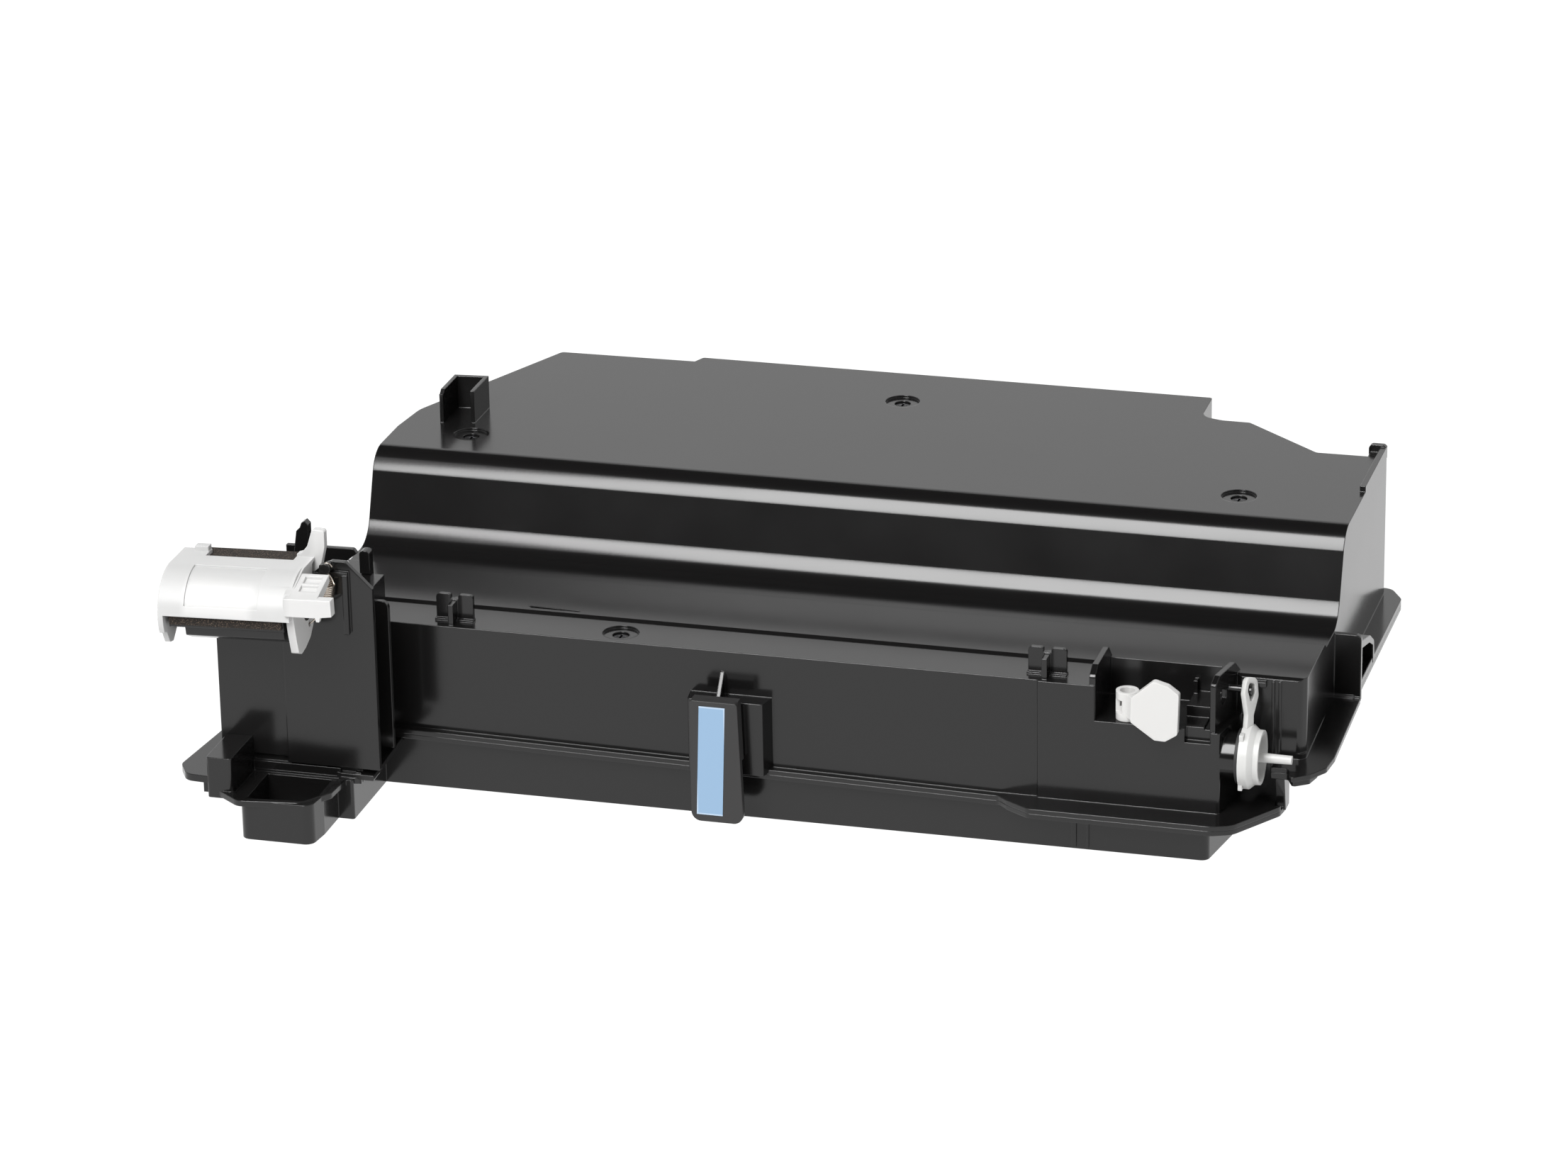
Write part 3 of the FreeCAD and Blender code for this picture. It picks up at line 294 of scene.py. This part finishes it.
# %% Finishes onto the CAD pieces
finish_of = {
    "upper_cover": tank_black, "lower_tray": tank_black, "inlet_tower": tank_black,
    "level_paddle": tank_black, "pull_handle": handle_black, "handle_label": label_blue,
    "nose_seal": foam, "flag_seal": felt, "cap_seal": rubber, "shutter": shutter_white,
    "level_flag": flag_white, "sealing_cap": cap_white, "shutter_spring": wire_steel,
    "cover_screw_1": screw_black, "cover_screw_2": screw_black, "cover_screw_3": screw_black,
    "cover_screw_4": screw_black}
for name, finish in finish_of.items():
    mesh = nodes[name].data
    mesh.materials.clear()
    mesh.materials.append(finish.mat)
print("finishes set on", len(finish_of), "pieces")

# %% [markdown]
# ## The spring, wound by Geometry Nodes
#
# The solid spring in the frame is a coarse stand-in with eight straight runs in each turn. A real
# one is round wire wound smoothly, with a bent leg at each end. The two legs are drawn as splines,
# the tree adds the coil as a Spiral, stands it between the legs, and sweeps one round section
# along all of them. Turns, radius and wire are named inputs of the tree.

# %% Where the spring runs
WIRE_R = 0.27 * MM
COIL_R = 3.2 * MM
COILS = 10
COIL_LOW = Vector((-114.4, -32.2, 71.0)) * MM
COIL_HIGH = Vector((-113.7, -31.9, 77.0)) * MM
coil_way = COIL_HIGH - COIL_LOW
coil_turn = Vector((0, 0, 1)).rotation_difference(coil_way)
coil_start = COIL_LOW + coil_turn @ Vector((COIL_R, 0, 0))
coil_end = coil_start + coil_way
LOW_LEG = ((-121.2, -33.8, 64.5), (-119.6, -33.8, 63.9), (-117.5, -33.8, 64.4),
           (-115.4, -33.6, 67.2), (-111.6, -33.6, 69.6))
HIGH_LEG = ((-111.2, -31.2, 77.6), (-112.6, -31.0, 79.6), (-114.7, -30.6, 80.4),
            (-114.2, -30.4, 82.2), (-112.6, -30.2, 82.7), (-111.7, -30.1, 81.3))
low_leg = [Vector(point) * MM for point in LOW_LEG] + [coil_start]
high_leg = [coil_end] + [Vector(point) * MM for point in HIGH_LEG]
print("coil is", round(coil_way.length / MM, 1), "mm long")


# %% A small helper that adds nodes to a geometry tree
def add_node(tree, kind, links=None, **values):
    made = tree.nodes.new(kind)
    for key, value in values.items():
        made.inputs[key.replace("_", " ")].default_value = value
    for key, socket in (links or {}).items():
        tree.links.new(socket, made.inputs[key])
    return made


# %% The tree that winds the wire
def wound_wire(finish):
    tree = bpy.data.node_groups.new("wound_wire", "GeometryNodeTree")
    tree.interface.new_socket("Geometry", in_out="INPUT", socket_type="NodeSocketGeometry")
    names = {}
    for name, kind in (("Turns", "Float"), ("Coil Radius", "Float"), ("Wire Radius", "Float"),
                       ("Foot", "Vector"), ("Way", "Vector")):
        made = tree.interface.new_socket(name, in_out="INPUT", socket_type="NodeSocket" + kind)
        names[name] = made.identifier
    tree.interface.new_socket("Geometry", in_out="OUTPUT", socket_type="NodeSocketGeometry")
    given = tree.nodes.new("NodeGroupInput").outputs
    length = tree.nodes.new("ShaderNodeVectorMath")
    length.operation = "LENGTH"
    tree.links.new(given["Way"], length.inputs[0])
    spiral = add_node(tree, "GeometryNodeCurveSpiral", {
        "Rotations": given["Turns"], "Start Radius": given["Coil Radius"],
        "End Radius": given["Coil Radius"], "Height": length.outputs["Value"]}, Resolution=24)
    upright = add_node(tree, "FunctionNodeAlignRotationToVector", {"Vector": given["Way"]})
    upright.axis = "Z"
    stood = add_node(tree, "GeometryNodeTransform", {
        "Geometry": spiral.outputs[0], "Translation": given["Foot"], "Rotation": upright.outputs[0]})
    wires = tree.nodes.new("GeometryNodeJoinGeometry")
    tree.links.new(given["Geometry"], wires.inputs[0])
    tree.links.new(stood.outputs[0], wires.inputs[0])
    section = add_node(tree, "GeometryNodeCurvePrimitiveCircle", {"Radius": given["Wire Radius"]},
                       Resolution=10)
    swept = add_node(tree, "GeometryNodeCurveToMesh", {
        "Curve": wires.outputs[0], "Profile Curve": section.outputs[0]}, Fill_Caps=True)
    plain = add_node(tree, "GeometryNodeRealizeInstances", {"Geometry": swept.outputs[0]})
    painted = add_node(tree, "GeometryNodeSetMaterial", {"Geometry": plain.outputs[0]},
                       Material=finish.mat)
    tree.links.new(painted.outputs[0], tree.nodes.new("NodeGroupOutput").inputs[0])
    return tree, names


# %% Legs as splines, then the plain mesh
def spring_legs(name, routes):
    curve = bpy.data.curves.new(name, "CURVE")
    curve.dimensions = "3D"
    for route in routes:
        spline = curve.splines.new("NURBS")
        spline.points.add(len(route) - 1)
        for point, place in zip(spline.points, route):
            point.co = (*place, 1)
        spline.order_u = 3
        spline.use_endpoint_u = True
        spline.resolution_u = 5
    made = bpy.data.objects.new(name, curve)
    bpy.context.collection.objects.link(made)
    return made


def plain_piece(source, name):
    """What the modifiers of an object give, as a mesh of its own."""
    bpy.context.view_layer.update()
    solved = source.evaluated_get(bpy.context.evaluated_depsgraph_get())
    mesh = bpy.data.meshes.new_from_object(solved)
    source.modifiers.clear()
    bpy.data.objects.remove(source)
    mesh.name = name
    mesh.polygons.foreach_set("use_smooth", [True] * len(mesh.polygons))
    made = bpy.data.objects.new(name, mesh)
    bpy.context.collection.objects.link(made)
    return made


# %% Spring in place of the coarse one
tree, inputs = wound_wire(wire_steel)
legs = spring_legs("spring_legs", (low_leg, high_leg))
winding = legs.modifiers.new("winding", "NODES")
winding.node_group = tree
winding[inputs["Turns"]] = float(COILS)
winding[inputs["Coil Radius"]] = COIL_R
winding[inputs["Wire Radius"]] = WIRE_R
winding[inputs["Foot"]] = COIL_LOW
winding[inputs["Way"]] = coil_way
spring = plain_piece(legs, "wound_spring")
print("spring faces:", len(spring.data.polygons), "finish:", [m.name for m in spring.data.materials])
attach(spring, "tank")
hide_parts("shutter_spring")
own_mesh(spring)

# %% [markdown]
# ## The shutter's top edge, set back to show the foam
#
# From the front a strip of the nose's foam shows above the white shell, which stops a little before
# the top. The solid is left as it is: a copy of its mesh is merged, a box is taken off with a
# Boolean, and the sharp edges are marked again so that the drum stays smooth between them.

# %% A box from two opposite corners
def box_mesh(name, low, high):
    corners = [(x, y, z) for z in (low.z, high.z) for y in (low.y, high.y) for x in (low.x, high.x)]
    mesh = bpy.data.meshes.new(name)
    mesh.from_pydata(corners, [], [(0, 2, 3, 1), (4, 5, 7, 6), (0, 1, 5, 4), (2, 6, 7, 3),
                                   (0, 4, 6, 2), (1, 3, 7, 5)])
    return mesh


# %% Merged copy of the shutter
MERGE_GAP = 0.002 * MM
shell_mesh = nodes["shutter"].data.copy()
merging = bmesh.new()
merging.from_mesh(shell_mesh)
bmesh.ops.remove_doubles(merging, verts=merging.verts, dist=MERGE_GAP)
merging.to_mesh(shell_mesh)
merging.free()
if "custom_normal" in shell_mesh.attributes:
    shell_mesh.attributes.remove(shell_mesh.attributes["custom_normal"])
shell = bpy.data.objects.new("shell_source", shell_mesh)
bpy.context.collection.objects.link(shell)
print("merged corners:", len(shell_mesh.vertices), "of", len(nodes["shutter"].data.vertices))

# %% Less a box along its top edge
STRIP_LOW = Vector((-151.9, -28.8, 74.0)) * MM
STRIP_HIGH = Vector((-124.2, -20.0, 92.0)) * MM
SHARP_FROM = math.radians(28)
cutter = bpy.data.objects.new("strip_cutter", box_mesh("strip_cutter", STRIP_LOW, STRIP_HIGH))
bpy.context.collection.objects.link(cutter)
strip_cut = shell.modifiers.new("strip_cut", "BOOLEAN")
strip_cut.operation = "DIFFERENCE"
strip_cut.solver = "EXACT"
strip_cut.object = cutter
drum_shell = plain_piece(shell, "drum_shell")
drum_shell.data.set_sharp_from_angle(angle=SHARP_FROM)
bpy.data.objects.remove(cutter)
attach(drum_shell, "shutter")
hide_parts("shutter")
print("drum shell faces:", len(drum_shell.data.polygons))

# %% [markdown]
# ## A plate that closes the corner under the raised shelf
#
# Behind the cap a short wall runs from the low rim up to the raised shelf. It is a plain moulded
# plate, so eight corners are enough; the soft mould edges come with the tank's finish.

# %% Corner plate
PLATE_LOW = Vector((152.6, 16.05, 15.2)) * MM
PLATE_HIGH = Vector((164.7, 17.3, 24.0)) * MM
plate_mesh = box_mesh("corner_plate", PLATE_LOW, PLATE_HIGH)
corner_plate = bpy.data.objects.new("corner_plate", plate_mesh)
bpy.context.collection.objects.link(corner_plate)
plate_mesh.materials.append(tank_black.mat)
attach(corner_plate, "tank")
print("corner plate:", [round((b - a) / MM, 1) for a, b in zip(PLATE_LOW, PLATE_HIGH)], "mm")

# %% [markdown]
# ## The white studio
#
# The photograph has no shadow and no horizon: a white sweep under and behind the part. Black
# plastic mirrors what stands around it, so each surface is as bright as whatever it faces. The
# front walls mirror the floor, the top mirrors the sweep behind, and the slope between them is
# nearly black, so the room behind the camera is dark. Its two bright bands, and the pale ledge
# that mirrors the slope, come from one tall soft lamp high in front. The lamp, and two black
# cards that keep the white world off the slope, do all of that.

# %% Colours shown as they are
bpy.context.scene.view_settings.view_transform = "Standard"

# %% Floor and world
WORLD_GLOW = 0.95
FLOOR_GLOW = 1.03
FLOOR_SIDE = 8.0
FLOOR_DROP = 0.2 * MM    # the floor lies this far under the part
world = bpy.data.worlds.new("studio")
bpy.context.scene.world = world
world.use_nodes = True
world.node_tree.nodes["Background"].inputs["Color"].default_value = (1, 1, 1, 1)
world.node_tree.nodes["Background"].inputs["Strength"].default_value = WORLD_GLOW

bpy.ops.mesh.primitive_plane_add(size=FLOOR_SIDE, location=(0, 0, -FLOOR_DROP))
floor = bpy.context.object
floor.name = "floor"
floor_paint = Finish("floor_paint", (0.05, 0.05, 0.05), 0.9, Emission_Color=(1, 1, 1, 1),
                     Emission_Strength=FLOOR_GLOW, Specular_IOR_Level=0.0)
floor.data.materials.append(floor_paint.mat)


# %% Where studio gear stands, seen from the part
def stand_at(azimuth, elevation, distance):
    """Azimuth 0 is in front of the handle and grows to the right; degrees and metres."""
    across, up = math.radians(azimuth), math.radians(elevation)
    level = math.cos(up)
    return Vector((math.sin(across) * level, -math.cos(across) * level, math.sin(up))) * distance


def facing(place, aim):
    return (Vector(aim) - Vector(place)).to_track_quat("-Z", "Y").to_matrix().to_4x4()


# %% Soft lamp
LAMP_AT = stand_at(azimuth=-15.5, elevation=51, distance=2.0)
LAMP_SIZE = (0.82, 1.6)
LAMP_RADIANCE = 12.5
PART_MIDDLE = (0, 0.05, 0.05)


def panel(name, place, size, radiance):
    light = bpy.data.lights.new(name, "AREA")
    light.shape = "RECTANGLE"
    light.size, light.size_y = size
    light.energy = radiance * math.pi * size[0] * size[1]
    lamp = bpy.data.objects.new(name, light)
    bpy.context.collection.objects.link(lamp)
    lamp.matrix_world = Matrix.Translation(place) @ facing(place, PART_MIDDLE)
    return lamp


panel("front_lamp", LAMP_AT, LAMP_SIZE, LAMP_RADIANCE)


# %% Black cards that only reflections see
def black_card(name, corners):
    mesh = bpy.data.meshes.new(name)
    mesh.from_pydata(corners, [], [(0, 1, 2, 3)])
    card = bpy.data.objects.new(name, mesh)
    bpy.context.collection.objects.link(card)
    card_black = Finish(name + "_paint", (0.01, 0.01, 0.01), 1.0, Specular_IOR_Level=0.0)
    mesh.materials.append(card_black.mat)
    card.visible_camera = False
    return card


FRONT_HALF, FRONT_Y, FRONT_FOOT, FRONT_TOP = 3.2, -2.6, 0.08, 1.42
black_card("front_card", [(-FRONT_HALF, FRONT_Y, FRONT_FOOT), (FRONT_HALF, FRONT_Y, FRONT_FOOT),
                          (FRONT_HALF, FRONT_Y, FRONT_TOP), (-FRONT_HALF, FRONT_Y, FRONT_TOP)])
ROOF_HALF, ROOF_NEAR, ROOF_FAR, ROOF_Z = 2.6, -0.5, 3.3, 2.4
black_card("ceiling_card", [(-ROOF_HALF, ROOF_NEAR, ROOF_Z), (ROOF_HALF, ROOF_NEAR, ROOF_Z),
                            (ROOF_HALF, ROOF_FAR, ROOF_Z), (-ROOF_HALF, ROOF_FAR, ROOF_Z)])

# %% [markdown]
# ## Camera
#
# Solved from the photograph: a long lens, 21.6 degrees above the horizon, a little to the right of
# the handle.

# %% Camera
CAMERA_AT = Vector((476.1, -1609.4, 736.0)) * MM
camera_data = bpy.data.cameras.new("photo_camera")
camera = bpy.data.objects.new("photo_camera", camera_data)
bpy.context.collection.objects.link(camera)
camera_data.sensor_width = 36.0
camera_data.lens = 140.0
camera_data.clip_start, camera_data.clip_end = 0.1, 20
image_right = Vector((0.9635, 0.2673, -0.0161))
image_down = Vector((0.0838, -0.3582, -0.9299))
view_way = Vector((-0.2543, 0.8946, -0.3675))
turn = Matrix((image_right, -image_down, -view_way)).transposed()
camera.matrix_world = Matrix.Translation(CAMERA_AT) @ turn.to_4x4()
bpy.context.scene.camera = camera
print("camera is", round(CAMERA_AT.length, 2), "m from the handle's foot")
